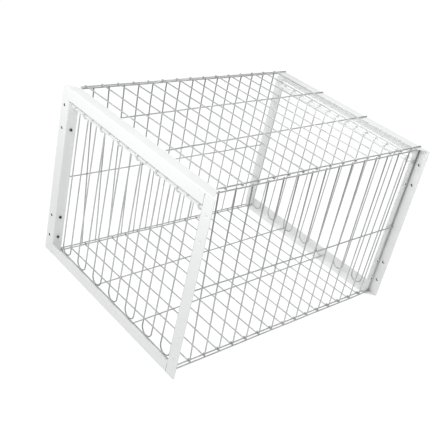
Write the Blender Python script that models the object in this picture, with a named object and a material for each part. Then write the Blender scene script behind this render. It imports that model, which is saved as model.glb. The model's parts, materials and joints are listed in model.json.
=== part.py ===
"""One-way wire cage: two angle-section end frames, four wire panels and swinging hairpin curtains.

Run with: blender --background --python part.py
Units are metres, +Z is up, the front entrance faces -Y and the cage stands on Z = 0.
"""
import math

import bmesh
import bpy
from mathutils import Matrix, Vector

MM = 0.001

# Driving dimensions
WIDTH = 316.0 * MM            # over the mounting ears
DEPTH = 406.0 * MM            # outer face of the front frame to outer face of the rear frame
HEIGHT = 256.0 * MM           # end frames, without the roof wires that lie on top
LEG = 16.0 * MM               # leg of the angle section
SHEET = 1.2 * MM              # sheet thickness of the angle section
GAP = 0.3 * MM                # clearance between pieces that touch on the bench
WIRE_R = 0.95 * MM            # panel wire and curtain wire
WIRE_SIDES = 6
WIRE_LAYER = 1.3 * MM         # centre distance of two welded wires that cross
MID_WIRE_Z = 122.0 * MM       # height of the long wire half-way up a side panel

# Rows of wires, as distances behind the front frame: first row, pitch and number of rows. The
# panels are slightly racked, so their two edges are given separately.
ROOF_ROWS_LEFT = (24.0 * MM, 25.3 * MM, 15)
ROOF_ROWS_RIGHT = (28.0 * MM, 25.2 * MM, 15)
FLOOR_ROWS_LEFT = (33.0 * MM, 24.0 * MM, 15)
FLOOR_ROWS_RIGHT = (38.5 * MM, 24.3 * MM, 15)
LEFT_UPRIGHT_TOPS = (37.0 * MM, 24.4 * MM, 16)
LEFT_UPRIGHT_FEET = (52.5 * MM, 23.39 * MM, 16)
RIGHT_UPRIGHT_TOPS = (18.4 * MM, 25.66 * MM, 16)
RIGHT_UPRIGHT_FEET = (37.0 * MM, 24.42 * MM, 16)
INNER_WIRES_FRONT = (-45.0 * MM, 47.0 * MM)
INNER_WIRES_REAR = (-55.0 * MM, 38.0 * MM)

ROD_R = 3.25 * MM             # curtain rod
ROD_Z = 232.5 * MM
ROD_INSET = 8.0 * MM          # rod axis behind the outer face of its frame
EAR_HOLE_R = 2.1 * MM         # mounting holes in the ears
EAR_HOLE_HEIGHTS = (27.0 * MM, 60.0 * MM, 197.0 * MM, 230.0 * MM)
FLANGE_HOLE_R = 1.9 * MM      # holes in the legs that lie along the side panels
RIVET_HEIGHTS = (27.0 * MM, 60.0 * MM, 197.0 * MM)
SHANK_R = 1.6 * MM            # rivets and rod screws
MITRE_DROP = 12.0 * MM        # how far the mitre of the rear top corners falls over the ear
HAIRPINS = 7
HAIRPIN_PITCH = 40.0 * MM
HAIRPIN_SPREAD = 20.0 * MM    # distance between the two legs of one hairpin
HAIRPIN_FOOT_Z = 8.0 * MM     # wire centre at the lowest point of the bend

# Places that follow from them
BOX_HALF = WIDTH / 2 - LEG            # outer face of the side flanges
INNER_HALF = BOX_HALF - SHEET - GAP   # half length of everything that fits between the posts
FRONT_Y = -DEPTH / 2
REAR_Y = DEPTH / 2
WIRE_FLAT = WIRE_R * math.cos(math.pi / WIRE_SIDES)
SIDE_WIRE_X = BOX_HALF + GAP + WIRE_FLAT
END_WIRE_INSET = SHEET + GAP + WIRE_R
FLOOR_WIRE_Z = SHEET + GAP + WIRE_FLAT
ROOF_WIRE_Z = HEIGHT + GAP + WIRE_FLAT
EYE_R = ROD_R + 2 * GAP + WIRE_R
POST_FOOT_Z = SHEET + GAP
POST_TOP_Z = HEIGHT - SHEET - GAP

WHITE_COAT = ("white_powder_coat", (0.86, 0.87, 0.87, 1.0), 0.42, 0.0)
GALVANISED = ("galvanised_wire", (0.42, 0.43, 0.44, 1.0), 0.38, 0.9)
BRIGHT_WIRE = ("bright_spring_wire", (0.56, 0.57, 0.58, 1.0), 0.3, 0.9)
DARK_STEEL = ("dark_steel", (0.08, 0.08, 0.085, 1.0), 0.4, 0.8)


def clear_scene():
    for obj in list(bpy.data.objects):
        bpy.data.objects.remove(obj, do_unlink=True)


def make_material(finish):
    name, colour, roughness, metallic = finish
    material = bpy.data.materials.new(name)
    material.use_nodes = True
    shader = material.node_tree.nodes["Principled BSDF"]
    shader.inputs["Base Color"].default_value = colour
    shader.inputs["Roughness"].default_value = roughness
    shader.inputs["Metallic"].default_value = metallic
    material.diffuse_color = colour
    return material


def add_object(name, mesh, finish, location=(0.0, 0.0, 0.0), smooth=False):
    obj = bpy.data.objects.new(name, mesh)
    obj.location = location
    mesh.materials.append(make_material(finish))
    for polygon in mesh.polygons:
        polygon.use_smooth = smooth
    bpy.context.scene.collection.objects.link(obj)
    return obj


def add_tool(name, mesh):
    """A cutter or an operand: it stays in the file as a wire outline and is no piece itself."""
    tool = bpy.data.objects.new(name, mesh)
    tool.display_type = "WIRE"
    tool.hide_render = True
    bpy.context.scene.collection.objects.link(tool)
    return tool


def add_boolean(obj, tool, operation):
    modifier = obj.modifiers.new(operation.lower(), "BOOLEAN")
    modifier.operation = operation
    modifier.solver = "EXACT"
    modifier.object = tool


def finish_mesh(bm, name):
    bmesh.ops.recalc_face_normals(bm, faces=bm.faces)
    mesh = bpy.data.meshes.new(name)
    bm.to_mesh(mesh)
    bm.free()
    return mesh


def basis(direction, normal):
    """Axes of a bar: X across its flats, Z along its length."""
    along = Vector(direction).normalized()
    across = Vector(normal).normalized()
    return Matrix((across, along.cross(across), along)).transposed().to_4x4()


def add_prism(bm, start, end, radius, sides, normal):
    """A straight bar with a regular section and two flats across the normal."""
    start = Vector(start)
    end = Vector(end)
    place = Matrix.Translation(start) @ basis(end - start, normal)
    ring = bmesh.ops.create_circle(bm, cap_ends=True, segments=sides, radius=radius, matrix=place)
    face = ring["verts"][0].link_faces[0]
    top = bmesh.ops.extrude_face_region(bm, geom=[face], use_keep_orig=True)
    moved = [item for item in top["geom"] if isinstance(item, bmesh.types.BMVert)]
    bmesh.ops.translate(bm, verts=moved, vec=end - start)


def wire_grid(name, rails, crossings, normal, tool_name):
    """A welded panel: the rails are its own mesh and the crossing wires are united with them."""
    bm = bmesh.new()
    for start, end in rails:
        add_prism(bm, start, end, WIRE_R, WIRE_SIDES, normal)
    panel = add_object(name, finish_mesh(bm, name), GALVANISED)
    bm = bmesh.new()
    for start, end in crossings:
        add_prism(bm, start, end, WIRE_R, WIRE_SIDES, normal)
    add_boolean(panel, add_tool(tool_name, finish_mesh(bm, tool_name)), "UNION")
    return panel


def row_places(rule):
    """Y of each row from its (first distance, pitch, number of rows)."""
    first, pitch, number = rule
    return [FRONT_Y + first + pitch * index for index in range(number)]


def build_level_panel(name, z, edge_x, reach_x, left_rows, right_rows, layer):
    """The floor or the roof: four wires run along the depth and the rows cross them."""
    front_y = FRONT_Y + LEG + GAP
    rear_y = REAR_Y - SHEET - GAP
    rails = [((x, front_y, z), (x, rear_y, z)) for x in (-edge_x, edge_x)]
    rails += [((front_x, front_y, z), (rear_x, rear_y, z))
              for front_x, rear_x in zip(INNER_WIRES_FRONT, INNER_WIRES_REAR)]
    crossings = [((-reach_x, left_y, z + layer), (reach_x, right_y, z + layer))
                 for left_y, right_y in zip(left_rows, right_rows)]
    wire_grid(name, rails, crossings, (0, 0, 1), name + "_cross_wires")


def build_side_panel(name, side, tops, feet):
    """Upright wires lie on the side flanges and three long wires are welded on their outside."""
    rail_x = side * (SIDE_WIRE_X + WIRE_LAYER)
    front_y = FRONT_Y + SHEET + GAP
    rear_y = REAR_Y - SHEET - GAP
    heights = (POST_FOOT_Z + WIRE_R, MID_WIRE_Z, POST_TOP_Z - WIRE_R)
    rails = [((rail_x, front_y, z), (rail_x, rear_y, z)) for z in heights]
    x = side * SIDE_WIRE_X
    end_wire = FRONT_Y + END_WIRE_INSET
    uprights = [(end_wire, end_wire)] + list(zip(feet, tops))
    crossings = [((x, foot_y, POST_FOOT_Z), (x, top_y, POST_TOP_Z)) for foot_y, top_y in uprights]
    wire_grid(name, rails, crossings, (1, 0, 0), name + "_upright_wires")


def plate_mesh(name, outline, offset):
    """A flat plate: the outline is a list of points and the offset reaches its other face."""
    bm = bmesh.new()
    face = bm.faces.new([bm.verts.new(point) for point in outline])
    far = bmesh.ops.extrude_face_region(bm, geom=[face], use_keep_orig=True)
    bmesh.ops.translate(bm, verts=[v for v in far["geom"] if isinstance(v, bmesh.types.BMVert)],
                        vec=offset)
    return finish_mesh(bm, name)


def fold_angle(name, first_leg, second_leg):
    """An angle section made of two flat legs, each an (outline, offset) pair, that share the fold."""
    member = add_object(name, plate_mesh(name, *first_leg), WHITE_COAT)
    leg_name = name + "_second_leg"
    add_boolean(member, add_tool(leg_name, plate_mesh(leg_name, *second_leg)), "UNION")
    return member


def drill(obj, name, holes):
    """Cut round holes, each given by its centre, its direction and its radius."""
    bm = bmesh.new()
    for centre, direction, radius in holes:
        reach = Vector(direction) * 2 * SHEET
        normal = (0, 0, 1)
        add_prism(bm, Vector(centre) - reach, Vector(centre) + reach, radius, 12, normal)
    add_boolean(obj, add_tool(name, finish_mesh(bm, name)), "DIFFERENCE")


def build_post(name, side, end):
    """An upright: one leg is an ear in the plane of the frame, the other lies along the side panel.

    side is -1 on the left and 1 on the right; end is -1 at the front and 1 at the rear.
    """
    outer_y = end * DEPTH / 2
    fold_x = side * BOX_HALF
    heel_x = side * (BOX_HALF - SHEET)
    tip_x = side * WIDTH / 2
    tip_z = POST_TOP_Z - (MITRE_DROP if end > 0 else 0.0)
    ear = [(heel_x, POST_FOOT_Z), (tip_x, POST_FOOT_Z), (tip_x, tip_z), (fold_x, POST_TOP_Z),
           (heel_x, POST_TOP_Z)]
    ear_leg = ([(x, outer_y, z) for x, z in ear], (0, -end * SHEET, 0))
    flange_y = outer_y - end * LEG
    flange = [(outer_y, POST_FOOT_Z), (flange_y, POST_FOOT_Z), (flange_y, POST_TOP_Z),
              (outer_y, POST_TOP_Z)]
    side_leg = ([(fold_x, y, z) for y, z in flange], (-side * SHEET, 0, 0))
    post = fold_angle(name, ear_leg, side_leg)
    ear_centre = (side * (BOX_HALF + LEG / 2), outer_y - end * SHEET / 2)
    side_centre = (side * (BOX_HALF - SHEET / 2), outer_y - end * ROD_INSET)
    holes = [((*ear_centre, z), (0, 1, 0), EAR_HOLE_R) for z in EAR_HOLE_HEIGHTS]
    holes += [((*side_centre, z), (1, 0, 0), FLANGE_HOLE_R) for z in (*RIVET_HEIGHTS, ROD_Z)]
    drill(post, name + "_holes", holes)


def build_rail(name, end, up):
    """A top (up = 1) or bottom (up = -1) member between the posts.

    Its level leg runs on over the ears and is mitred there. The rear top rail ends square on the
    left, and on the right its upright leg also runs on, above the mitre of the ear.
    """
    edge_z = HEIGHT if up > 0 else 0.0
    root_z = edge_z - up * SHEET
    lip_z = edge_z - up * LEG
    outer_y = end * DEPTH / 2
    tip_y = outer_y - end * LEG
    half = INNER_HALF
    right_end = [(half, lip_z), (half, edge_z)]
    left_end = [(-half, edge_z), (-half, lip_z)]
    left_wing_x = -WIDTH / 2
    if up > 0 and end > 0:
        mitre_z = POST_TOP_Z + 2 * GAP - MITRE_DROP
        right_end = [(half, lip_z), (half, root_z), (BOX_HALF + GAP, root_z), (WIDTH / 2, mitre_z),
                     (WIDTH / 2, edge_z)]
        left_wing_x = -BOX_HALF
    upright_leg = ([(x, outer_y, z) for x, z in right_end + left_end], (0, -end * SHEET, 0))
    level = [(left_wing_x, outer_y), (WIDTH / 2, outer_y), (BOX_HALF, tip_y), (-BOX_HALF, tip_y)]
    level_leg = ([(x, y, edge_z) for x, y in level], (0, 0, -up * SHEET))
    fold_angle(name, upright_leg, level_leg)


def turned_mesh(name, profile, steps):
    """Turn a profile of (distance along the axis, radius) points about the local X axis."""
    bm = bmesh.new()
    verts = [bm.verts.new((x, 0, r)) for x, r in profile]
    edges = [bm.edges.new(pair) for pair in zip(verts, verts[1:])]
    bmesh.ops.spin(bm, geom=verts + edges, axis=(1, 0, 0), cent=(0, 0, 0), angle=2 * math.pi,
                   steps=steps, use_merge=True)
    bmesh.ops.remove_doubles(bm, verts=bm.verts, dist=0.01 * MM)
    return finish_mesh(bm, name)


def build_rod(name, end):
    """The round rod that carries one curtain, bored at both ends for its screws."""
    y = end * (DEPTH / 2 - ROD_INSET)
    bm = bmesh.new()
    add_prism(bm, (-INNER_HALF, 0, 0), (INNER_HALF, 0, 0), ROD_R, 12, (0, 0, 1))
    rod = add_object(name, finish_mesh(bm, name), WHITE_COAT, (0, y, ROD_Z), smooth=True)
    bm = bmesh.new()
    for side in (-1, 1):
        mouth = side * (INNER_HALF + MM)
        bottom = side * (INNER_HALF - 9 * MM)
        add_prism(bm, (mouth, y, ROD_Z), (bottom, y, ROD_Z), FLANGE_HOLE_R, 8, (0, 0, 1))
    add_boolean(rod, add_tool(name + "_bores", finish_mesh(bm, name + "_bores")), "DIFFERENCE")


def build_rivet(name, side, end, z):
    """A blind rivet: its wide head holds the end wire of the side panel in the corner of the post."""
    head = BOX_HALF + GAP
    tail = INNER_HALF
    profile = [
        (head + 1.4 * MM, 0.0), (head + 1.2 * MM, 2.4 * MM), (head + 0.5 * MM, 4.3 * MM),
        (head, 4.3 * MM), (head, SHANK_R), (tail, SHANK_R), (tail, 2.5 * MM),
        (tail - 1.8 * MM, 2.3 * MM), (tail - 2.4 * MM, 0.0),
    ]
    place_turned(name, profile, side, end, z)


def build_rod_screw(name, side, end):
    """A pan-head screw through the side flange into the end of the curtain rod."""
    head = BOX_HALF + GAP
    profile = [
        (head + 1.9 * MM, 0.0), (head + 1.6 * MM, 2.0 * MM), (head + 0.8 * MM, 3.1 * MM),
        (head, 3.1 * MM), (head, SHANK_R), (BOX_HALF - 8.0 * MM, SHANK_R),
        (BOX_HALF - 9.0 * MM, 0.0),
    ]
    place_turned(name, profile, side, end, ROD_Z)


def place_turned(name, profile, side, end, z):
    profile = [(side * (x - BOX_HALF), r) for x, r in profile]
    place = (side * BOX_HALF, end * (DEPTH / 2 - ROD_INSET), z)
    add_object(name, turned_mesh(name, profile, 10), DARK_STEEL, place, smooth=True)


def arc(centre, radius, start, stop, steps):
    """Points (a, b) on an arc, both ends included; the angles are in degrees."""
    turn = [math.radians(start + (stop - start) * index / steps) for index in range(steps + 1)]
    return [(centre[0] + radius * math.cos(a), centre[1] + radius * math.sin(a)) for a in turn]


def hairpin_path(inward):
    """Centre line of one curtain wire, with the rod axis through the origin.

    Both legs hang on the inner side of the rod. The left one is a hook over the rod, the right one
    is wound into an eye round it.
    """
    leg_x = HAIRPIN_SPREAD / 2
    foot_z = HAIRPIN_FOOT_Z - ROD_Z + leg_x
    hook = arc((0, 0), EYE_R, 165, 0, 5)
    eye = arc((0, 0), EYE_R, 0, 325, 9)
    step = 2.8 * MM / (len(eye) - 1)
    path = [(-leg_x, inward * y, z) for y, z in hook]
    path += [(x, inward * EYE_R, z) for x, z in arc((0, foot_z), leg_x, 180, 360, 6)]
    path += [(leg_x + step * index, inward * y, z) for index, (y, z) in enumerate(eye)]
    return path


def wire_mesh(name, path):
    """A round wire swept along a path, closed at both ends."""
    curve = bpy.data.curves.new(name + "_path", "CURVE")
    curve.dimensions = "3D"
    curve.bevel_depth = WIRE_R
    curve.bevel_resolution = 1
    curve.use_fill_caps = True
    spline = curve.splines.new("POLY")
    spline.points.add(len(path) - 1)
    for point, place in zip(spline.points, path):
        point.co = (*place, 1.0)
    sweep = bpy.data.objects.new(name + "_sweep", curve)
    mesh = bpy.data.meshes.new_from_object(sweep)
    bpy.data.objects.remove(sweep)
    bm = bmesh.new()
    bm.from_mesh(mesh)
    bmesh.ops.remove_doubles(bm, verts=bm.verts, dist=0.01 * MM)
    return finish_mesh(bm, name)


def build_curtain(prefix, end):
    for index in range(HAIRPINS):
        x = (index - (HAIRPINS - 1) / 2) * HAIRPIN_PITCH
        name = f"{prefix}_hairpin_{index + 1}"
        place = (x, end * (DEPTH / 2 - ROD_INSET), ROD_Z)
        add_object(name, wire_mesh(name, hairpin_path(-end)), BRIGHT_WIRE, place, smooth=True)


def build_end_frame(prefix, end):
    for side_name, side in (("left", -1), ("right", 1)):
        build_post(f"{prefix}_{side_name}_post", side, end)
        build_rod_screw(f"{prefix}_{side_name}_rod_screw", side, end)
        for number, z in enumerate(RIVET_HEIGHTS, start=1):
            build_rivet(f"{prefix}_{side_name}_rivet_{number}", side, end, z)
    build_rail(f"{prefix}_top_rail", end, 1)
    build_rail(f"{prefix}_bottom_rail", end, -1)
    build_rod(f"{prefix}_curtain_rod", end)
    build_curtain(prefix, end)


def build_cage():
    for prefix, end in (("front", -1), ("rear", 1)):
        build_end_frame(prefix, end)
    build_side_panel("left_side_panel", -1, row_places(LEFT_UPRIGHT_TOPS), row_places(LEFT_UPRIGHT_FEET))
    build_side_panel("right_side_panel", 1, row_places(RIGHT_UPRIGHT_TOPS),
                     row_places(RIGHT_UPRIGHT_FEET))
    front_row = FRONT_Y + LEG + GAP + WIRE_R
    floor_left = [front_row] + row_places(FLOOR_ROWS_LEFT)
    floor_right = [front_row] + row_places(FLOOR_ROWS_RIGHT)
    build_level_panel("floor_panel", FLOOR_WIRE_Z, INNER_HALF - WIRE_R, INNER_HALF, floor_left,
                      floor_right, -WIRE_LAYER)
    roof_reach = SIDE_WIRE_X + WIRE_LAYER + WIRE_R
    build_level_panel("roof_panel", ROOF_WIRE_Z, BOX_HALF, roof_reach, row_places(ROOF_ROWS_LEFT),
                      row_places(ROOF_ROWS_RIGHT), WIRE_LAYER)


clear_scene()
build_cage()
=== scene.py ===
"""Looks of a free-standing one-way wire cage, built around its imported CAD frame.

Everything is in metres in the row frame: +X to the right seen from the front entrance, +Y from the
front frame to the rear frame, +Z up, with the origin on the ground under the middle of the cage.
"""

import json
import math
import random

import bmesh
import bpy
from mathutils import Euler, Matrix, Vector, kdtree, noise


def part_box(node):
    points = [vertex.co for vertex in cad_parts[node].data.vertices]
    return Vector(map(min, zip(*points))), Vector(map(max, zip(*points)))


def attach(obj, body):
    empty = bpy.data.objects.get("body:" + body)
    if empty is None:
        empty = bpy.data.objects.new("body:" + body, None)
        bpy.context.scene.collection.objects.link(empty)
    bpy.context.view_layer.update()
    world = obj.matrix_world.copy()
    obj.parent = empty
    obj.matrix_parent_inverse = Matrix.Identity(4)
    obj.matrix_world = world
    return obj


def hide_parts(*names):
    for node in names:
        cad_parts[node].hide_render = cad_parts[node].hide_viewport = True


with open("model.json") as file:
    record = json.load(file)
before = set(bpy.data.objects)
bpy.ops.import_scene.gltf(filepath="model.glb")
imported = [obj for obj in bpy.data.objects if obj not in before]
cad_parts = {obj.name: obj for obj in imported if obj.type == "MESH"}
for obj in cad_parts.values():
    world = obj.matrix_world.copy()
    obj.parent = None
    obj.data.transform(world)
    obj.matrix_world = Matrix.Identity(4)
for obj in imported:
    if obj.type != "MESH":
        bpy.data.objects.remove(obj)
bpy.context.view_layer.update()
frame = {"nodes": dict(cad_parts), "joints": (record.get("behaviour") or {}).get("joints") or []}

HALF_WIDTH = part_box("front_bottom_rail")[1].x    # of the end frames, with their ears
STATIC_BODY = "cage"
MM = 0.001
random.seed(41)
noise.seed_set(41)            # random.seed does not reach noise_vector, which starts from the clock

# Folded sheet members
SHEET = 1.2 * MM
FOLD_INSIDE = 0.4 * MM        # inner radius of the folds
FOLD_STEPS = 6
EDGE_ROUND = 0.16 * MM        # the coating rounds every cut edge
EDGE_ANGLE = 35.0             # degrees; a flatter edge stays as it is
HOLE_STEPS = 32
EAR_HOLE_WIDE = 2.3 * MM      # radius of the ear holes on their front side
EAR_HOLE_NARROW = 0.6 * MM    # and on their rear side
EAR_CUT_LEAD = 0.3 * MM       # how far ahead of the ear the cut starts
EAR_CUT = 1.9 * MM
TOP_HOLE_DROP = 2.5 * MM      # the top ear hole sits below the curtain rod's axis
FLANGE_HOLE_R = 1.9 * MM
FLANGE_CUT_LEAD = 3.0 * MM
FLANGE_CUT = 8.0 * MM
REAR_MITRE = 12.0 * MM        # drop of the slanting top edge of the rear ears
OVERCUT = 2.0 * MM            # how far a cutter reaches past the metal

# Rivets: (distance, radius) pairs in mm
RIVET_HEAD = 1.4 * MM
RIVET_CROWN = 0.95 * MM       # rise of the domed part of the head
RIVET_TAIL_AT = 2.4 * MM      # from the inner end of the rivet to the post
RIVET_TAIL = ((-2.4, 0.0), (-2.4, 0.8), (-2.1, 1.0), (-2.0, 1.5), (-1.5, 1.8), (-0.6, 1.95),
              (0.0, 1.85), (0.0, 1.6))
RIVET_SHANK_R = 1.6 * MM
RIVET_DIMPLE = ((-0.05, 1.0), (-0.6, 0.9), (-0.6, 0.75), (-0.35, 0.6), (-0.3, 0.0))
RIVET_DIMPLE_R = 1.1 * MM
PIN_R = 1.0 * MM              # bare middle of a rivet head
WORN_R = 2.0 * MM             # bare middle where the coating of the head has come off

# Rod screws
SCREW_POINT = ((0.0, 0.0), (0.9, 1.2))    # (distance, radius) pairs in mm
SCREW_THREAD_AT = 1.2 * MM
SCREW_ROOT_R = 1.3 * MM
SCREW_CREST_R = 1.6 * MM
SCREW_PITCH = 0.7 * MM
SCREW_HEAD = 1.9 * MM
SCREW_NECK_R = 1.45 * MM
SCREW_CROWN = 1.2 * MM
RECESS_LONG = 3.4 * MM
RECESS_WIDE = 0.8 * MM
RECESS_DEPTH = 1.0 * MM
RIM = 0.1 * MM                # rounding of the rim of a head

# Curtain rods
ROD_BORE = 9.0 * MM
ROD_RINGS = 1.5 * MM          # distance between the rings of a rod
TURNED_STEPS = 28             # sides of a turned fastener
ROD_STEPS = 32
DOME_STEPS = 8

# Round wires
WIRE_R = 0.95 * MM
WIRE_STEPS = 12               # sides of a round wire
WIRE_FLAT = WIRE_R * math.cos(math.pi / 6)   # half thickness of a CAD wire, which has six sides
WIRE_END_R = 0.8 * WIRE_R     # the cut ends are slightly rounded
WIRE_END_CUT = 0.25 * WIRE_R
WIRE_SPACING = 9.0 * MM       # distance between the rings of a panel wire
END_REACH = 0.3 * MM          # CAD points this close to the outermost one belong to the wire ends
END_GAP = 3.0 * MM            # CAD points further apart than this belong to different wires
LAYER_GAP = 0.2 * MM          # from the middle of a panel to either of its two layers

# Welded panels
PANEL_WANDER = 0.45 * MM      # how far the welded panels wander from true
WANDER_DENSITY = 14.0         # waves per metre
WANDER_MARGIN = 17.0 * MM     # the panels stay true this far from the end frames
WANDER_FADE = 25.0 * MM
GROUND_LAYER = 10.0 * MM      # a panel below this height lies on the ground and stays level
CURL_R = 1.95 * MM            # centre line of the curls at the wire ends
CURL_TURN = (205.0, 255.0)    # degrees
CURL_STEPS = 10
HEAT_REACH = 2.6 * MM         # discoloured length beside a weld
UPRIGHT_SHADE = 0.6         # painted shade: how dark the uprights get towards their upper ends

# Hairpins
EYE_DRIFT = 2.8 * MM          # sideways travel of the wire round the eye
EYE_TURN = 325.0              # degrees
HOOK_TURN = 165.0             # degrees
EYE_STEPS = 32
HOOK_STEPS = 15
LEG_STEPS = 14
FOOT_STEPS = 20
LEG_BOW = 0.35 * MM
POLISH = 0.85                 # the hooks and eyes are rubbed bright on the rod
POLISH_DROP = 3.0 * MM        # how far below the rod's axis the polish is full
POLISH_FADE = 5.0 * MM

# Stage, light and camera
FLOOR_HALF = 6.0
FLOOR_DROP = 0.2 * MM
FLOOR_GREY = (0.16, 0.16, 0.16, 1.0)
FLOOR_SEEN = 0.93             # glow of the floor as the camera sees it
FLOOR_LIGHT = 0.8             # glow of the floor as it lights the cage
WHITE = (1.0, 1.0, 1.0, 1.0)
SKY_COLOUR = (0.985, 0.995, 1.0, 1.0)
SKY_HORIZON = 0.2
SKY_ZENITH = 1.1
SKY_BEHIND = 0.55             # share of the sky's light that comes from behind the cage
LIGHTS = {                    # place, target, width, height, power
    "key": ((-0.02, -0.36, 0.415), (-0.02, -0.2, 0.25), 0.62, 0.08, 0.5),
    "rear_key": ((0.04, 0.04, 0.40), (0.04, 0.2, 0.18), 0.36, 0.08, 0.3),
    "rear_fill": ((-0.02, 0.0, 0.12), (-0.02, 0.2, 0.06), 0.28, 0.1, 0.055),
}
CAMERA_PLACE = (0.64335, -0.70425, 0.62205)
CAMERA_TURN = (61.6116, -12.7376, 48.0160)   # degrees
CAMERA_SHIFT = (-0.05172, -0.03897)
CAMERA_LENS = 59.72
CAMERA_SENSOR = 36.0
CAMERA_NEAR = 0.05


# ---------------------------------------------------------------- materials

def add_node(tree, kind, inputs=(), **settings):
    """A shader node; an input that is a socket gets linked, any other is set."""
    item = tree.nodes.new("ShaderNode" + kind)
    for key, value in settings.items():
        setattr(item, key, value)
    for key, value in dict(inputs).items():
        if isinstance(value, bpy.types.NodeSocket):
            tree.links.new(value, item.inputs[key])
        else:
            item.inputs[key].default_value = value
    return item


def new_material(name):
    """An empty material, its node tree and the place on the object to sample patterns at."""
    material = bpy.data.materials.new(name)
    material.use_nodes = True
    tree = material.node_tree
    tree.nodes.clear()
    place = add_node(tree, "TexCoord").outputs["Object"]
    return material, tree, place


def close_material(tree, shader_inputs):
    shader = add_node(tree, "BsdfPrincipled", shader_inputs)
    add_node(tree, "OutputMaterial", {"Surface": shader.outputs["BSDF"]})


def noise_at(tree, place, scale, detail=3.0, roughness=0.5):
    values = {"Vector": place, "Scale": scale, "Detail": detail, "Roughness": roughness}
    return add_node(tree, "TexNoise", values).outputs["Fac"]


def remap(tree, value, low, high, to_low=0.0, to_high=1.0):
    """Stretch low..high to to_low..to_high and clamp it there."""
    values = {"Value": value, "From Min": low, "From Max": high, "To Min": to_low, "To Max": to_high}
    return add_node(tree, "MapRange", values, clamp=True).outputs["Result"]


def calculate(tree, operation, first, second):
    return add_node(tree, "Math", {0: first, 1: second}, operation=operation).outputs[0]


def mix_colour(tree, factor, first, second, mode="MIX"):
    item = add_node(tree, "Mix", data_type="RGBA", blend_type=mode)
    for index, value in ((0, factor), (6, first), (7, second)):
        if isinstance(value, bpy.types.NodeSocket):
            tree.links.new(value, item.inputs[index])
        elif index == 0:
            item.inputs[index].default_value = value
        else:
            item.inputs[index].default_value = (*value, 1.0)
    return item.outputs[2]


def bump(tree, height, strength, distance, normal=None):
    values = {"Height": height, "Strength": strength, "Distance": distance}
    if normal is not None:
        values["Normal"] = normal
    return add_node(tree, "Bump", values).outputs["Normal"]


def powder_coat():
    """White powder coat: faint orange peel, and a little painted shade in the corners."""
    material, tree, place = new_material("white_powder_coat_finish")
    clouds = remap(tree, noise_at(tree, place, 22.0, 4.0), 0.35, 0.65)
    colour = mix_colour(tree, clouds, (0.882, 0.896, 0.892), (0.914, 0.926, 0.922))
    grain = remap(tree, noise_at(tree, place, 2600.0, 2.0), 0.3, 0.7)
    colour = mix_colour(tree, grain, colour, (0.932, 0.943, 0.939))
    # painted shade: the coat is painted darker in corners and creases that ambient occlusion finds, in
    # patches
    openness = add_node(tree, "AmbientOcclusion", {"Distance": 5 * MM}, samples=12).outputs["AO"]
    corners = remap(tree, openness, 0.1, 0.5, 1.0, 0.0)
    patches = remap(tree, noise_at(tree, place, 160.0, 5.0), 0.3, 0.7, 0.22, 0.38)
    corner_shade = calculate(tree, "MULTIPLY", corners, patches)
    colour = mix_colour(tree, corner_shade, colour, (0.62, 0.63, 0.63))
    specks = remap(tree, noise_at(tree, place, 520.0, 1.0), 0.775, 0.80)
    colour = mix_colour(tree, calculate(tree, "MULTIPLY", specks, 0.35), colour, (0.45, 0.45, 0.44))
    peel = noise_at(tree, place, 620.0, 2.0)
    ripple = noise_at(tree, place, 90.0, 2.0)
    normal = bump(tree, peel, 0.16, 0.06 * MM)
    normal = bump(tree, ripple, 0.12, 0.35 * MM, normal)
    rough = remap(tree, noise_at(tree, place, 45.0, 4.0), 0.3, 0.7, 0.34, 0.5)
    close_material(tree, {"Base Color": colour, "Roughness": rough, "Normal": normal,
                          "Coat Weight": 0.12, "Coat Roughness": 0.25})
    return material


def punched_steel():
    """The walls of the punched holes, where the coating is broken and the steel has darkened."""
    material, tree, place = new_material("dark_hole_wall")
    tone = remap(tree, noise_at(tree, place, 1400.0, 4.0), 0.3, 0.7)
    colour = mix_colour(tree, tone, (0.012, 0.012, 0.013), (0.04, 0.038, 0.037))
    normal = bump(tree, noise_at(tree, place, 2500.0, 3.0), 0.4, 0.08 * MM)
    close_material(tree, {"Base Color": colour, "Roughness": 0.85, "Normal": normal})
    return material


def wire_finish(name, dull, bright, metallic, rough_low, rough_high):
    """Drawn wire with a thin zinc coat: cloudy tone and fine spangle. The vertex attributes add painted
    shade to the uprights towards their tops, burn it at the welds ("heat") and rub it bright ("polish")."""
    material, tree, place = new_material(name)
    clouds = remap(tree, noise_at(tree, place, 60.0, 5.0), 0.32, 0.68)
    colour = mix_colour(tree, clouds, dull, bright)
    spangle = add_node(tree, "TexVoronoi", {"Vector": place, "Scale": 900.0}).outputs["Color"]
    level = add_node(tree, "SeparateColor", {"Color": spangle}).outputs["Red"]
    colour = mix_colour(tree, 0.22, colour, mix_colour(tree, level, dull, bright))
    # painted shade: the uprights are painted darker towards their upper ends
    painted_shade = add_node(tree, "Attribute", attribute_name="painted_shade").outputs["Fac"]
    colour = mix_colour(tree, painted_shade, colour, (0.075, 0.078, 0.08))
    heat = add_node(tree, "Attribute", attribute_name="heat").outputs["Fac"]
    patches = remap(tree, noise_at(tree, place, 700.0), 0.3, 0.7, 0.35, 0.9)
    burnt = calculate(tree, "MULTIPLY", heat, patches)
    colour = mix_colour(tree, burnt, colour, (0.07, 0.07, 0.075))
    polish = add_node(tree, "Attribute", attribute_name="polish").outputs["Fac"]
    colour = mix_colour(tree, polish, colour, (0.93, 0.935, 0.94))
    rough = remap(tree, noise_at(tree, place, 380.0, 4.0), 0.3, 0.7, rough_low, rough_high)
    rough = calculate(tree, "ADD", rough, calculate(tree, "MULTIPLY", burnt, 0.25))
    normal = bump(tree, noise_at(tree, place, 1100.0, 4.0), 0.3, 0.12 * MM)
    close_material(tree, {"Base Color": colour, "Metallic": metallic, "Roughness": rough,
                          "Normal": normal})
    return material


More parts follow.
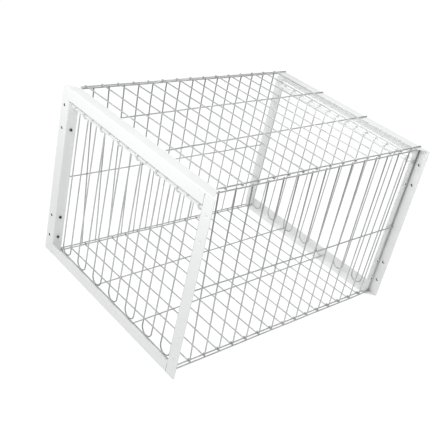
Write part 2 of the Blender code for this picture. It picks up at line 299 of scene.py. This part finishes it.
def dark_steel():
    """Blackened fastener steel, rubbed bright on its high spots."""
    material, tree, place = new_material("dark_steel_finish")
    tone = remap(tree, noise_at(tree, place, 300.0, 5.0), 0.35, 0.65)
    colour = mix_colour(tree, tone, (0.022, 0.022, 0.024), (0.07, 0.07, 0.075))
    rub = remap(tree, noise_at(tree, place, 1300.0, 3.0), 0.62, 0.72, 0.0, 0.5)
    colour = mix_colour(tree, rub, colour, (0.30, 0.30, 0.31))
    rough = remap(tree, noise_at(tree, place, 800.0, 3.0), 0.3, 0.7, 0.32, 0.55)
    normal = bump(tree, noise_at(tree, place, 1800.0, 3.0), 0.25, 0.06 * MM)
    close_material(tree, {"Base Color": colour, "Metallic": 0.7, "Roughness": rough, "Normal": normal})
    return material


COAT = powder_coat()
HOLE_WALL = punched_steel()
GALVANISED = wire_finish("galvanised_wire_finish", (0.50, 0.507, 0.512), (0.67, 0.675, 0.68),
                         metallic=0.75, rough_low=0.3, rough_high=0.5)
SPRING_WIRE = wire_finish("bright_spring_wire_finish", (0.46, 0.465, 0.47), (0.62, 0.625, 0.63),
                          metallic=0.8, rough_low=0.24, rough_high=0.4)
STEEL = dark_steel()


# ---------------------------------------------------------------- mesh helpers

def add_piece(name, mesh, materials, body):
    """Link a finished mesh as the piece that stands for a CAD node and rides on its body."""
    for index, material in enumerate(materials):
        if index < len(mesh.materials):
            mesh.materials[index] = material
        else:
            mesh.materials.append(material)
    piece = bpy.data.objects.new("visual_" + name, mesh)
    bpy.context.scene.collection.objects.link(piece)
    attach(piece, body)
    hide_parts(name)


def plain_mesh(bm, name):
    bmesh.ops.recalc_face_normals(bm, faces=bm.faces)
    mesh = bpy.data.meshes.new(name)
    bm.to_mesh(mesh)
    bm.free()
    return mesh


def shade(mesh, sharp):
    """Smooth shading, apart from the edges that are sharper than an angle in degrees."""
    mesh.shade_smooth()
    mesh.set_sharp_from_angle(angle=math.radians(sharp))
    return mesh


def temporary(name, mesh):
    obj = bpy.data.objects.new(name, mesh)
    bpy.context.scene.collection.objects.link(obj)
    return obj


def evaluated_mesh(obj):
    bpy.context.view_layer.update()
    return bpy.data.meshes.new_from_object(obj.evaluated_get(bpy.context.evaluated_depsgraph_get()))


def add_solid(bm, near, far, material=0):
    """A closed body between two outlines with the same number of points."""
    low = [bm.verts.new(point) for point in near]
    high = [bm.verts.new(point) for point in far]
    faces = [bm.faces.new(low), bm.faces.new(list(reversed(high)))]
    for index in range(len(low)):
        after = (index + 1) % len(low)
        faces.append(bm.faces.new((low[after], low[index], high[index], high[after])))
    for face in faces:
        face.material_index = material


def add_prism(bm, outline, lift, material=0):
    """Extrude a flat outline of 3-D points by the vector lift."""
    far = [Vector(point) + Vector(lift) for point in outline]
    add_solid(bm, outline, far, material)


def circle(centre, axis, radius, steps):
    """Points of a circle round an axis ("x" or "y") through centre."""
    points = []
    for index in range(steps):
        turn = 2 * math.pi * index / steps
        a, b = radius * math.cos(turn), radius * math.sin(turn)
        offset = (0, a, b) if axis == "x" else (a, 0, b)
        points.append(Vector(centre) + Vector(offset))
    return points


def subtract(mesh, cutter_bm, name):
    """Cut a mesh; the cut faces keep the cutter's material index."""
    target = temporary(name + "_blank", mesh)
    cutter = temporary(name + "_cutter", plain_mesh(cutter_bm, name + "_cutter"))
    for obj in (target, cutter):
        while len(obj.data.materials) < 2:
            obj.data.materials.append(COAT)
    cut = target.modifiers.new("cut", "BOOLEAN")
    cut.operation = "DIFFERENCE"
    cut.solver = "EXACT"
    cut.material_mode = "INDEX"
    cut.object = cutter
    result = evaluated_mesh(target)
    bpy.data.objects.remove(target)
    bpy.data.objects.remove(cutter)
    return result


def round_edges(mesh, name):
    """Round every sharp edge by the thickness of the coating, then weight the normals by area."""
    bm = bmesh.new()
    bm.from_mesh(mesh)
    bmesh.ops.dissolve_degenerate(bm, dist=0.002 * MM, edges=bm.edges)
    limit = math.radians(EDGE_ANGLE)
    sharp = [edge for edge in bm.edges
             if len(edge.link_faces) == 2 and edge.calc_face_angle(0.0) > limit]
    bmesh.ops.bevel(bm, geom=sharp, offset=EDGE_ROUND, offset_type="OFFSET", segments=2, profile=0.5,
                    affect="EDGES", clamp_overlap=True, material=-1)
    rounded = shade(plain_mesh(bm, name), 60.0)
    for material in (COAT, HOLE_WALL):
        rounded.materials.append(material)
    blank = temporary(name + "_rounded", rounded)
    weighted = blank.modifiers.new("weighted", "WEIGHTED_NORMAL")
    weighted.keep_sharp = True
    result = evaluated_mesh(blank)
    bpy.data.objects.remove(blank)
    return result


# ---------------------------------------------------------------- folded members

def angle_outline(leg_a, leg_b):
    """Section of a folded angle: (distance along leg a, distance along leg b), fold at 0, 0."""
    outside = FOLD_INSIDE + SHEET
    points = []
    for index in range(FOLD_STEPS + 1):
        turn = math.radians(180 + 90 * index / FOLD_STEPS)
        points.append((outside + outside * math.cos(turn), outside + outside * math.sin(turn)))
    points += [(leg_a, 0.0), (leg_a, SHEET)]
    for index in range(FOLD_STEPS + 1):
        turn = math.radians(270 - 90 * index / FOLD_STEPS)
        points.append((outside + FOLD_INSIDE * math.cos(turn), outside + FOLD_INSIDE * math.sin(turn)))
    points += [(SHEET, leg_b), (0.0, leg_b)]
    return points


def angle_blank(origin, along_a, along_b, length, leg_a, leg_b):
    """A straight folded angle that starts at origin, with its outer corner on the line of length."""
    bm = bmesh.new()
    outline = [origin + along_a * a + along_b * b for a, b in angle_outline(leg_a, leg_b)]
    add_prism(bm, outline, length)
    return plain_mesh(bm, "angle_blank")


def add_ear_holes(cutter, ear_x, outer_y, end, heights, material):
    """Cutters for the round holes in an ear, which narrow towards the rear."""
    near_y = min(outer_y, outer_y - end * SHEET) - EAR_CUT_LEAD
    for z in heights:
        near = circle((ear_x, near_y, z), "y", EAR_HOLE_WIDE, HOLE_STEPS)
        far = circle((ear_x, near_y + EAR_CUT, z), "y", EAR_HOLE_NARROW, HOLE_STEPS)
        add_solid(cutter, near, far, material)


def add_flange_holes(cutter, heel_x, hole_y, side, heights):
    """Cutters for the holes of the rivets and the rod screw, with dark walls."""
    for z in heights:
        start = (heel_x - side * FLANGE_CUT_LEAD, hole_y, z)
        add_prism(cutter, circle(start, "x", FLANGE_HOLE_R, HOLE_STEPS), (side * FLANGE_CUT, 0, 0), 1)


def add_ear_mitre(cutter, fold_x, tip_x, outer_y, top_z, side):
    """A cutter that lets the top edge of a rear ear slope down to its tip."""
    beyond_x = tip_x + side * OVERCUT
    slope = REAR_MITRE / (tip_x - fold_x)
    outline = [(fold_x, top_z + MM), (beyond_x, top_z + MM),
               (beyond_x, top_z - slope * (beyond_x - fold_x)), (fold_x, top_z)]
    wedge = [(x, outer_y + MM, z) for x, z in outline]
    add_prism(cutter, wedge, (0, -2 * OVERCUT, 0))


def build_post(end_name, end, side_name, side):
    """A corner post: one leg stands out as an ear, the other lies along the side panel."""
    name = f"{end_name}_{side_name}_post"
    low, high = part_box(name)
    heel_x = side * min(abs(low.x), abs(high.x))
    tip_x = side * max(abs(low.x), abs(high.x))
    outer_y = end * max(abs(low.y), abs(high.y))
    fold_x = heel_x + side * SHEET
    blank = angle_blank(Vector((heel_x, outer_y, low.z)), Vector((side, 0, 0)), Vector((0, -end, 0)),
                        Vector((0, 0, high.z - low.z)), abs(tip_x - heel_x), high.y - low.y)
    rivet_boxes = [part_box(f"{end_name}_{side_name}_rivet_{number}") for number in (1, 2, 3)]
    rivet_places = [(rivet_low + rivet_high) / 2 for rivet_low, rivet_high in rivet_boxes]
    rivet_heights = [place.z for place in rivet_places]
    rod_low, rod_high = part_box(f"{end_name}_curtain_rod")
    rod_z = (rod_low.z + rod_high.z) / 2
    wall = 0 if end < 0 and side > 0 else 1
    cutter = bmesh.new()
    add_ear_holes(cutter, (fold_x + tip_x) / 2, outer_y, end,
                  rivet_heights + [rod_z - TOP_HOLE_DROP], wall)
    add_flange_holes(cutter, heel_x, rivet_places[0].y, side, rivet_heights + [rod_z])
    if end > 0:
        add_ear_mitre(cutter, fold_x, tip_x, outer_y, high.z, side)
    mesh = round_edges(subtract(blank, cutter, name), name)
    add_piece(name, mesh, (COAT, HOLE_WALL), STATIC_BODY)


def build_rail(end_name, end, level_name, up):
    """A rail across the posts: the upright leg fits between them and the level leg is mitred.
    The rear top rail has a slanting wing on the right and ends square on the left."""
    name = f"{end_name}_{level_name}_rail"
    low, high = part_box(name)
    depth = high.y - low.y
    drop = high.z - low.z
    edge_z = high.z if up > 0 else low.z
    root_z = edge_z - up * SHEET
    clear_z = edge_z - up * (drop + MM)
    outer_y = end * max(abs(low.y), abs(high.y))
    over_y = outer_y + end * OVERCUT
    fold_half = HALF_WIDTH - drop
    beyond_half = HALF_WIDTH + OVERCUT
    has_wing = up > 0 and end > 0
    mesh = angle_blank(Vector((low.x, outer_y, edge_z)), Vector((0, -end, 0)), Vector((0, 0, -up)),
                       Vector((high.x - low.x, 0, 0)), depth, drop)
    cutter = bmesh.new()
    for side in (-1, 1):
        start_x = side * abs(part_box(f"{end_name}_curtain_rod")[0].x)
        beyond_x = side * beyond_half
        outline = [(start_x, root_z), (start_x, clear_z), (beyond_x, clear_z), (beyond_x, root_z)]
        if has_wing and side > 0:
            fall = REAR_MITRE * (beyond_x - fold_half) / (HALF_WIDTH - fold_half)
            outline[3:] = [(beyond_x, root_z - fall), (fold_half, root_z)]
        add_prism(cutter, [(x, over_y, z) for x, z in outline], (0, -end * (depth + 2 * OVERCUT), 0))
    mesh = subtract(mesh, cutter, name)
    cutter = bmesh.new()
    under_y = outer_y - end * (depth + OVERCUT)
    far_half = HALF_WIDTH + 3 * OVERCUT
    for side in (-1, 1):
        if has_wing and side < 0:
            continue
        triangle = [(beyond_half, over_y), (fold_half - OVERCUT, under_y), (far_half, under_y),
                    (far_half, over_y)]
        points = [(side * x, y, edge_z - up * (drop + OVERCUT)) for x, y in triangle]
        add_prism(cutter, points, (0, 0, up * (drop + 2 * OVERCUT)))
    mesh = round_edges(subtract(mesh, cutter, name + "_mitre"), name)
    add_piece(name, mesh, (COAT, HOLE_WALL), STATIC_BODY)


# ---------------------------------------------------------------- turned pieces

def turn_profile(bm, profile, origin, side, steps):
    """Turn (x, radius) points about the X axis through origin; side mirrors it."""
    rings = []
    for x, radius in profile:
        centre = Vector(origin) + Vector((side * x, 0, 0))
        if radius == 0:
            rings.append([bm.verts.new(centre)])
        else:
            rings.append([bm.verts.new(point) for point in circle(centre, "x", radius, steps)])
    for ring, after in zip(rings, rings[1:]):
        for index in range(steps):
            beside = (index + 1) % steps
            corners = [ring[index % len(ring)], ring[beside % len(ring)],
                       after[beside % len(after)], after[index % len(after)]]
            bm.faces.new(list(dict.fromkeys(corners)))


def dome(base, reach, radius, steps):
    """Part of a profile: a domed head from its rim to its crown."""
    points = []
    for index in range(steps + 1):
        turn = math.radians(90 * index / steps)
        points.append((base + reach * math.sin(turn), radius * math.cos(turn)))
    return points


def shifted(pairs, distance):
    """Profile points in metres, from pairs in mm and the distance they are measured from."""
    return [(distance + x * MM, radius * MM) for x, radius in pairs]


def build_rivet(name, end, side):
    low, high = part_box(name)
    centre = (low + high) / 2
    inner, outer = sorted((abs(low.x), abs(high.x)))
    radius = (high.z - low.z) / 2
    head_base = outer - RIVET_HEAD
    crown = dome(outer - RIVET_CROWN, RIVET_CROWN, radius, DOME_STEPS)
    profile = shifted(RIVET_TAIL, inner + RIVET_TAIL_AT)
    profile += [(head_base, RIVET_SHANK_R), (head_base, radius - RIM), (head_base + 1.2 * RIM, radius)]
    profile += [point for point in crown if point[1] > RIVET_DIMPLE_R]
    profile += shifted(RIVET_DIMPLE, outer)
    bm = bmesh.new()
    turn_profile(bm, profile, (0, centre.y, centre.z), side, TURNED_STEPS)
    mesh = shade(plain_mesh(bm, name), 50.0)
    bare_tail = end < 0 or side > 0
    bare_r = WORN_R if end > 0 and side > 0 else PIN_R
    for polygon in mesh.polygons:
        off_axis = math.hypot(polygon.center.y - centre.y, polygon.center.z - centre.z)
        is_tail = abs(polygon.center.x) < head_base - MM
        if (is_tail and bare_tail) or (not is_tail and off_axis < bare_r):
            polygon.material_index = 1
    add_piece(name, mesh, (COAT, STEEL), STATIC_BODY)


def build_rod_screw(name, side):
    """A screw with a threaded shank and a cross recess in its domed head."""
    low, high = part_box(name)
    centre = (low + high) / 2
    inner, outer = sorted((abs(low.x), abs(high.x)))
    radius = (high.z - low.z) / 2
    head_base = outer - SCREW_HEAD
    profile = shifted(SCREW_POINT, inner)
    x = inner + SCREW_THREAD_AT
    while x < head_base - 0.8 * MM:
        profile += [(x, SCREW_ROOT_R), (x + SCREW_PITCH / 2, SCREW_CREST_R)]
        x += SCREW_PITCH
    profile += [(head_base, SCREW_NECK_R), (head_base, radius - RIM), (head_base + 1.5 * RIM, radius)]
    profile += dome(outer - SCREW_CROWN, SCREW_CROWN, radius, DOME_STEPS)[:-1]
    profile += [(outer, 0.0)]
    bm = bmesh.new()
    turn_profile(bm, profile, (0, centre.y, centre.z), side, TURNED_STEPS)
    mesh = plain_mesh(bm, name)
    floor_x = side * (outer - RECESS_DEPTH)
    for long_y, long_z in ((RECESS_LONG, RECESS_WIDE), (RECESS_WIDE, RECESS_LONG)):
        outline = [(floor_x, centre.y + sy * long_y / 2, centre.z + sz * long_z / 2)
                   for sy, sz in ((-1, -1), (1, -1), (1, 1), (-1, 1))]
        cutter = bmesh.new()
        add_prism(cutter, outline, (side * 3 * RECESS_DEPTH, 0, 0), 1)
        mesh = subtract(mesh, cutter, name)
    add_piece(name, shade(mesh, 40.0), (GALVANISED, STEEL), STATIC_BODY)


def build_rod(name):
    """A round rod, bored at both ends for its screws."""
    low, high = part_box(name)
    radius = (high.z - low.z) / 2
    half = high.x
    end_part = [(ROD_BORE, 0.0), (ROD_BORE, FLANGE_HOLE_R), (2 * RIM, FLANGE_HOLE_R),
                (0.0, FLANGE_HOLE_R + 2 * RIM), (0.0, radius - 3.5 * RIM), (RIM, radius - RIM)]
    length = 2 * half - MM
    count = round(length / ROD_RINGS)
    profile = [(x - half, r) for x, r in end_part]
    profile += [(length * (index / count - 0.5), radius) for index in range(count + 1)]
    profile += [(half - x, r) for x, r in reversed(end_part)]
    bm = bmesh.new()
    turn_profile(bm, profile, (low + high) / 2, 1, ROD_STEPS)
    add_piece(name, shade(plain_mesh(bm, name), 50.0), (COAT,), STATIC_BODY)


# ---------------------------------------------------------------- wires

def sweep(bm, path):
    """A round wire along a path; returns its vertices."""
    points = [Vector(point) for point in path]
    tangents = []
    for index in range(len(points)):
        before = points[max(index - 1, 0)]
        after = points[min(index + 1, len(points) - 1)]
        tangents.append((after - before).normalized())
    first, last = tangents[0], tangents[-1]
    stations = [(points[0], first, WIRE_END_R), (points[0] + first * WIRE_END_CUT, first, WIRE_R)]
    stations += [(point, tangent, WIRE_R) for point, tangent in zip(points[1:-1], tangents[1:-1])]
    stations += [(points[-1] - last * WIRE_END_CUT, last, WIRE_R), (points[-1], last, WIRE_END_R)]
    normal = first.orthogonal().normalized()
    previous = first
    rings = []
    for centre, tangent, radius in stations:
        normal = previous.rotation_difference(tangent) @ normal
        normal = (normal - tangent * normal.dot(tangent)).normalized()
        previous = tangent
        across = tangent.cross(normal)
        ring = []
        for index in range(WIRE_STEPS):
            turn = 2 * math.pi * index / WIRE_STEPS
            offset = normal * math.cos(turn) + across * math.sin(turn)
            ring.append(bm.verts.new(centre + offset * radius))
        rings.append(ring)
    for ring, after in zip(rings, rings[1:]):
        for index in range(WIRE_STEPS):
            beside = (index + 1) % WIRE_STEPS
            bm.faces.new((ring[index], ring[beside], after[beside], after[index]))
    bm.faces.new(list(reversed(rings[0])))
    bm.faces.new(rings[-1])
    return [vertex for ring in rings for vertex in ring]


def wander(point, low, high):
    """Small irregularity of a welded panel, the same for all wires that pass through a point."""
    edge = min(point.y - low.y, high.y - point.y)
    fade = min(1.0, max(0.0, (edge - WANDER_MARGIN) / WANDER_FADE))
    shift = noise.noise_vector(point * WANDER_DENSITY) * (PANEL_WANDER * fade)
    if high.z < GROUND_LAYER:
        shift.z = 0.0
    return shift


def straight(start, stop):
    """Points from start to stop, close enough together to follow the panel's irregularity."""
    count = max(2, round((stop - start).length / WIRE_SPACING))
    return [start.lerp(stop, index / count) for index in range(count + 1)]


def wire_ends(name, axis, at_high, along, keep):
    """Centres of the wire ends on one side of a CAD panel, in order along another axis."""
    points = [vertex.co.copy() for vertex in frame["nodes"][name].data.vertices if keep(vertex.co)]
    level = max(point[axis] for point in points) if at_high else min(point[axis] for point in points)
    ends = sorted((point for point in points if abs(point[axis] - level) < END_REACH),
                  key=lambda point: point[along])
    groups = [[ends[0]]]
    for before, point in zip(ends, ends[1:]):
        if point[along] - before[along] > END_GAP:
            groups.append([])
        groups[-1].append(point)
    centres = []
    for group in groups:
        lows = [min(point[i] for point in group) for i in range(3)]
        highs = [max(point[i] for point in group) for i in range(3)]
        centres.append((Vector(lows) + Vector(highs)) / 2)
    return centres


def add_bead(bm, centre, normal):
    """The flash squeezed out at a resistance weld."""
    turn = normal.to_track_quat("Z", "Y").to_matrix().to_4x4()
    size = Matrix.Diagonal((random.uniform(1.15, 1.35) * MM, random.uniform(1.15, 1.35) * MM,
                            random.uniform(0.6, 0.7) * MM, 1.0))
    spin = Matrix.Rotation(random.uniform(0, math.pi), 4, "Z")
    place = Matrix.Translation(centre) @ turn @ spin @ size
    bmesh.ops.create_uvsphere(bm, u_segments=10, v_segments=6, radius=1.0, matrix=place)


def curl(centre, start, turn_axis, turn_degrees):
    """Points of an arc from start round centre, which opens from the weld to the curl's radius."""
    arm = start - centre
    points = []
    for index in range(1, CURL_STEPS + 1):
        turn = Matrix.Rotation(math.radians(turn_degrees * index / CURL_STEPS), 3, turn_axis)
        opening = min(1.0, 3.0 * index / CURL_STEPS)
        radius = arm.length + (CURL_R - arm.length) * opening
        points.append(centre + turn @ arm.normalized() * radius)
    return points


def crossing(rail, row, across, along):
    """Where a long wire and a cross wire pass over each other, half-way between them."""
    (rail_a, rail_b), (row_a, row_b) = rail, row
    rail_t, row_t = 0.5, 0.5
    for _ in range(6):
        on_rail = rail_a.lerp(rail_b, rail_t)
        row_t = (on_rail[across] - row_a[across]) / (row_b[across] - row_a[across])
        on_row = row_a.lerp(row_b, row_t)
        rail_t = (on_row[along] - rail_a[along]) / (rail_b[along] - rail_a[along])
    return (rail_a.lerp(rail_b, rail_t) + row_a.lerp(row_b, row_t)) / 2


def curled_row(row, outer_rails, normal, curl_side, across, along):
    """A cross wire whose ends curl round the two outermost long wires."""
    hubs = []
    for rail in outer_rails:
        where = crossing(rail, row, across, along)
        hubs.append(where - normal * (normal.dot(where) - normal.dot(rail[0])))
    left, right = hubs
    lift = normal * (row[0] - left).dot(normal)
    body = straight(left + lift, right + lift)
    axis = (right - left).normalized().cross(normal)
    head = curl(left, body[0], axis, -curl_side * random.uniform(*CURL_TURN))
    tail = curl(right, body[-1], axis, curl_side * random.uniform(*CURL_TURN))
    return list(reversed(head)) + body + tail


def build_panel(name, rails, rows, normal, curl_side, across, along):
    """Long wires (rails) with cross wires (rows) welded on. The row ends curl round the outermost
    rails towards curl_side, +1 or -1 along the normal; with 0 they are plain uprights."""
    low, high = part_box(name)
    bm = bmesh.new()
    painted_shade = bm.verts.layers.float.new("painted_shade")
    for start, stop in rails:
        sweep(bm, [point + wander(point, low, high) for point in straight(start, stop)])
    for row in rows:
        if curl_side:
            path = curled_row(row, (rails[0], rails[-1]), normal, curl_side, across, along)
        else:
            path = straight(*row)
        vertices = sweep(bm, [point + wander(point, low, high) for point in path])
        if not curl_side:
            for vertex in vertices:
                share = max(0.0, (vertex.co.z - low.z) / (high.z - low.z))
                # painted shade, darker towards the upper end of each upright
                vertex[painted_shade] = UPRIGHT_SHADE * share ** 1.5
    spots = []
    for rail in rails:
        for row in rows:
            spot = crossing(rail, row, across, along)
            spots.append(spot + wander(spot, low, high))
    for spot in spots:
        add_bead(bm, spot, normal)
    mesh = shade(plain_mesh(bm, name), 50.0)
    add_heat(mesh, spots)
    add_piece(name, mesh, (GALVANISED,), STATIC_BODY)


def add_heat(mesh, spots):
    """Store how close each vertex is to a weld."""
    tree = kdtree.KDTree(len(spots))
    for index, spot in enumerate(spots):
        tree.insert(spot, index)
    tree.balance()
    heat = mesh.attributes.new("heat", "FLOAT", "POINT")
    for vertex in mesh.vertices:
        distance = tree.find(vertex.co)[2]
        heat.data[vertex.index].value = math.exp(-(distance / HEAT_REACH) ** 2)


def build_level_panel(name, curl_side):
    """The floor or the roof; its rows lie on the side of the rails away from curl_side."""
    low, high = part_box(name)
    middle = (low.z + high.z) / 2

    def in_rails(point):
        return (point.z - middle) * curl_side > LAYER_GAP

    def in_rows(point):
        return (middle - point.z) * curl_side > LAYER_GAP

    if curl_side < 0:
        rail_z = low.z + WIRE_FLAT
        row_z = high.z - WIRE_FLAT
    else:
        rail_z = high.z - WIRE_FLAT
        row_z = low.z + WIRE_R
    fronts = wire_ends(name, 1, False, 0, in_rails)
    rears = wire_ends(name, 1, True, 0, in_rails)
    lefts = wire_ends(name, 0, False, 1, in_rows)
    rights = wire_ends(name, 0, True, 1, in_rows)
    rails = [(Vector((front.x, low.y, rail_z)), Vector((rear.x, high.y, rail_z)))
             for front, rear in zip(fronts, rears)]
    rows = [(Vector((low.x, left.y, row_z)), Vector((high.x, right.y, row_z)))
            for left, right in zip(lefts, rights)]
    build_panel(name, rails, rows, Vector((0, 0, 1)), curl_side, 0, 1)


def build_side_panel(name, side):
    """Uprights on the inside and long wires on the outside."""
    low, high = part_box(name)
    inner_x = side * (min(abs(low.x), abs(high.x)) + WIRE_FLAT)
    outer_x = side * (max(abs(low.x), abs(high.x)) - WIRE_FLAT)
    middle = abs(inner_x + outer_x) / 2

    def in_uprights(point):
        return middle - abs(point.x) > LAYER_GAP

    def in_long_wires(point):
        return abs(point.x) - middle > LAYER_GAP

    feet = wire_ends(name, 2, False, 1, in_uprights)
    tops = wire_ends(name, 2, True, 1, in_uprights)
    fronts = wire_ends(name, 1, False, 2, in_long_wires)
    rails = [(Vector((outer_x, low.y, front.z)), Vector((outer_x, high.y, front.z))) for front in fronts]
    rows = [(Vector((inner_x, foot.y, low.z)), Vector((inner_x, top.y, high.z)))
            for foot, top in zip(feet, tops)]
    build_panel(name, rails, rows, Vector((side, 0, 0)), 0, 2, 1)


def hairpin_leg(x, y, start_z, stop_z):
    """One leg of a hairpin, bowed a little sideways."""
    bow = random.uniform(-1.0, 1.0) * LEG_BOW
    points = []
    for index in range(1, LEG_STEPS):
        share = index / LEG_STEPS
        shift = bow * math.sin(math.pi * share)
        points.append(Vector((x + shift, y, start_z + (stop_z - start_z) * share)))
    return points


def hairpin_path(inward, low, high, axis_place):
    """Centre line of one swinging wire: a hook over the rod on the left, an eye round it on the
    right, and a round bend at the foot."""
    eye = high.z - axis_place.z - WIRE_R
    left_x = low.x + WIRE_R
    right_x = high.x - WIRE_R - EYE_DRIFT
    spread = (right_x - left_x) / 2
    foot_z = low.z + WIRE_R + spread
    leg_y = axis_place.y + inward * eye

    def round_rod(x, degrees):
        turn = math.radians(degrees)
        return Vector((x, axis_place.y + inward * eye * math.cos(turn),
                       axis_place.z + eye * math.sin(turn)))

    path = [round_rod(left_x, HOOK_TURN * (1 - index / HOOK_STEPS)) for index in range(HOOK_STEPS + 1)]
    path += hairpin_leg(left_x, leg_y, axis_place.z, foot_z)
    for index in range(FOOT_STEPS + 1):
        turn = math.pi * (1 + index / FOOT_STEPS)
        path.append(Vector(((left_x + right_x) / 2 + spread * math.cos(turn), leg_y,
                            foot_z + spread * math.sin(turn))))
    path += hairpin_leg(right_x, leg_y, foot_z, axis_place.z)
    for index in range(EYE_STEPS + 1):
        share = index / EYE_STEPS
        path.append(round_rod(right_x + EYE_DRIFT * share, EYE_TURN * share))
    return path


def build_hairpin(joint):
    name = joint["child"]
    low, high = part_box(name)
    place = Vector(joint["pos_m"])
    bm = bmesh.new()
    sweep(bm, hairpin_path(1 if place.y < 0 else -1, low, high, place))
    mesh = shade(plain_mesh(bm, name), 50.0)
    polish = mesh.attributes.new("polish", "FLOAT", "POINT")
    for vertex in mesh.vertices:
        below = max(place.z - POLISH_DROP - vertex.co.z, 0.0)
        polish.data[vertex.index].value = POLISH * math.exp(-(below / POLISH_FADE) ** 2)
    add_piece(name, mesh, (SPRING_WIRE,), name)


# ---------------------------------------------------------------- stage, light and camera

def build_floor():
    """A pale floor that glows a little less for the cage than for the camera."""
    bm = bmesh.new()
    bmesh.ops.create_grid(bm, x_segments=2, y_segments=2, size=FLOOR_HALF)
    mesh = shade(plain_mesh(bm, "studio_floor"), 50.0)
    floor = temporary("studio_floor", mesh)
    floor.location = (0, 0, -FLOOR_DROP)
    material = bpy.data.materials.new("studio_floor_finish")
    material.use_nodes = True
    tree = material.node_tree
    tree.nodes.clear()
    diffuse = add_node(tree, "BsdfDiffuse", {"Color": FLOOR_GREY})
    seen = add_node(tree, "LightPath").outputs["Is Camera Ray"]
    strength = remap(tree, seen, 0.0, 1.0, FLOOR_LIGHT, FLOOR_SEEN)
    glow = add_node(tree, "Emission", {"Color": WHITE, "Strength": strength})
    both = add_node(tree, "AddShader", {0: diffuse.outputs[0], 1: glow.outputs[0]})
    add_node(tree, "OutputMaterial", {"Surface": both.outputs[0]})
    mesh.materials.append(material)


def build_world():
    """A soft sky: bright overhead, dim at the horizon and dimmer still behind the cage. The camera
    sees plain white instead."""
    world = bpy.data.worlds.new("studio")
    bpy.context.scene.world = world
    world.use_nodes = True
    tree = world.node_tree
    tree.nodes.clear()
    direction = add_node(tree, "TexCoord").outputs["Generated"]
    parts = add_node(tree, "SeparateXYZ", {"Vector": direction}).outputs
    height = remap(tree, parts["Z"], 0.0, 1.0, SKY_HORIZON, SKY_ZENITH)
    behind = remap(tree, parts["Y"], 0.0, 1.0, 1.0, SKY_BEHIND)
    level = calculate(tree, "MULTIPLY", height, behind)
    sky = add_node(tree, "Background", {"Color": SKY_COLOUR, "Strength": level})
    backdrop = add_node(tree, "Background", {"Color": WHITE, "Strength": 1.0})
    seen = add_node(tree, "LightPath").outputs["Is Camera Ray"]
    both = add_node(tree, "MixShader", {0: seen, 1: sky.outputs[0], 2: backdrop.outputs[0]})
    add_node(tree, "OutputWorld", {"Surface": both.outputs[0]})


def build_light(name, place, target, width, height, power):
    """A soft box that the camera does not see."""
    data = bpy.data.lights.new(name, "AREA")
    data.shape = "RECTANGLE"
    data.size = width
    data.size_y = height
    data.energy = power
    light = bpy.data.objects.new(name, data)
    light.location = place
    light.rotation_euler = (Vector(target) - Vector(place)).to_track_quat("-Z", "Y").to_euler()
    light.visible_camera = False
    bpy.context.scene.collection.objects.link(light)


def build_camera():
    data = bpy.data.cameras.new("camera")
    data.sensor_width = CAMERA_SENSOR
    data.lens = CAMERA_LENS
    data.shift_x, data.shift_y = CAMERA_SHIFT
    data.clip_start = CAMERA_NEAR
    camera = bpy.data.objects.new("camera", data)
    camera.location = CAMERA_PLACE
    camera.rotation_euler = Euler([math.radians(angle) for angle in CAMERA_TURN], "XYZ")
    bpy.context.scene.collection.objects.link(camera)
    bpy.context.scene.camera = camera


# ---------------------------------------------------------------- build

for end_name, end in (("front", -1), ("rear", 1)):
    for side_name, side in (("left", -1), ("right", 1)):
        corner = f"{end_name}_{side_name}"
        build_post(end_name, end, side_name, side)
        for number in (1, 2, 3):
            build_rivet(f"{corner}_rivet_{number}", end, side)
        build_rod_screw(f"{corner}_rod_screw", side)
    build_rail(end_name, end, "top", 1)
    build_rail(end_name, end, "bottom", -1)
    build_rod(f"{end_name}_curtain_rod")
build_level_panel("roof_panel", -1)
build_level_panel("floor_panel", 1)
build_side_panel("left_side_panel", -1)
build_side_panel("right_side_panel", 1)
for joint in frame["joints"]:
    build_hairpin(joint)

build_floor()
build_world()
for light_name, settings in LIGHTS.items():
    build_light(light_name, *settings)
build_camera()
bpy.context.scene.view_settings.view_transform = "Standard"
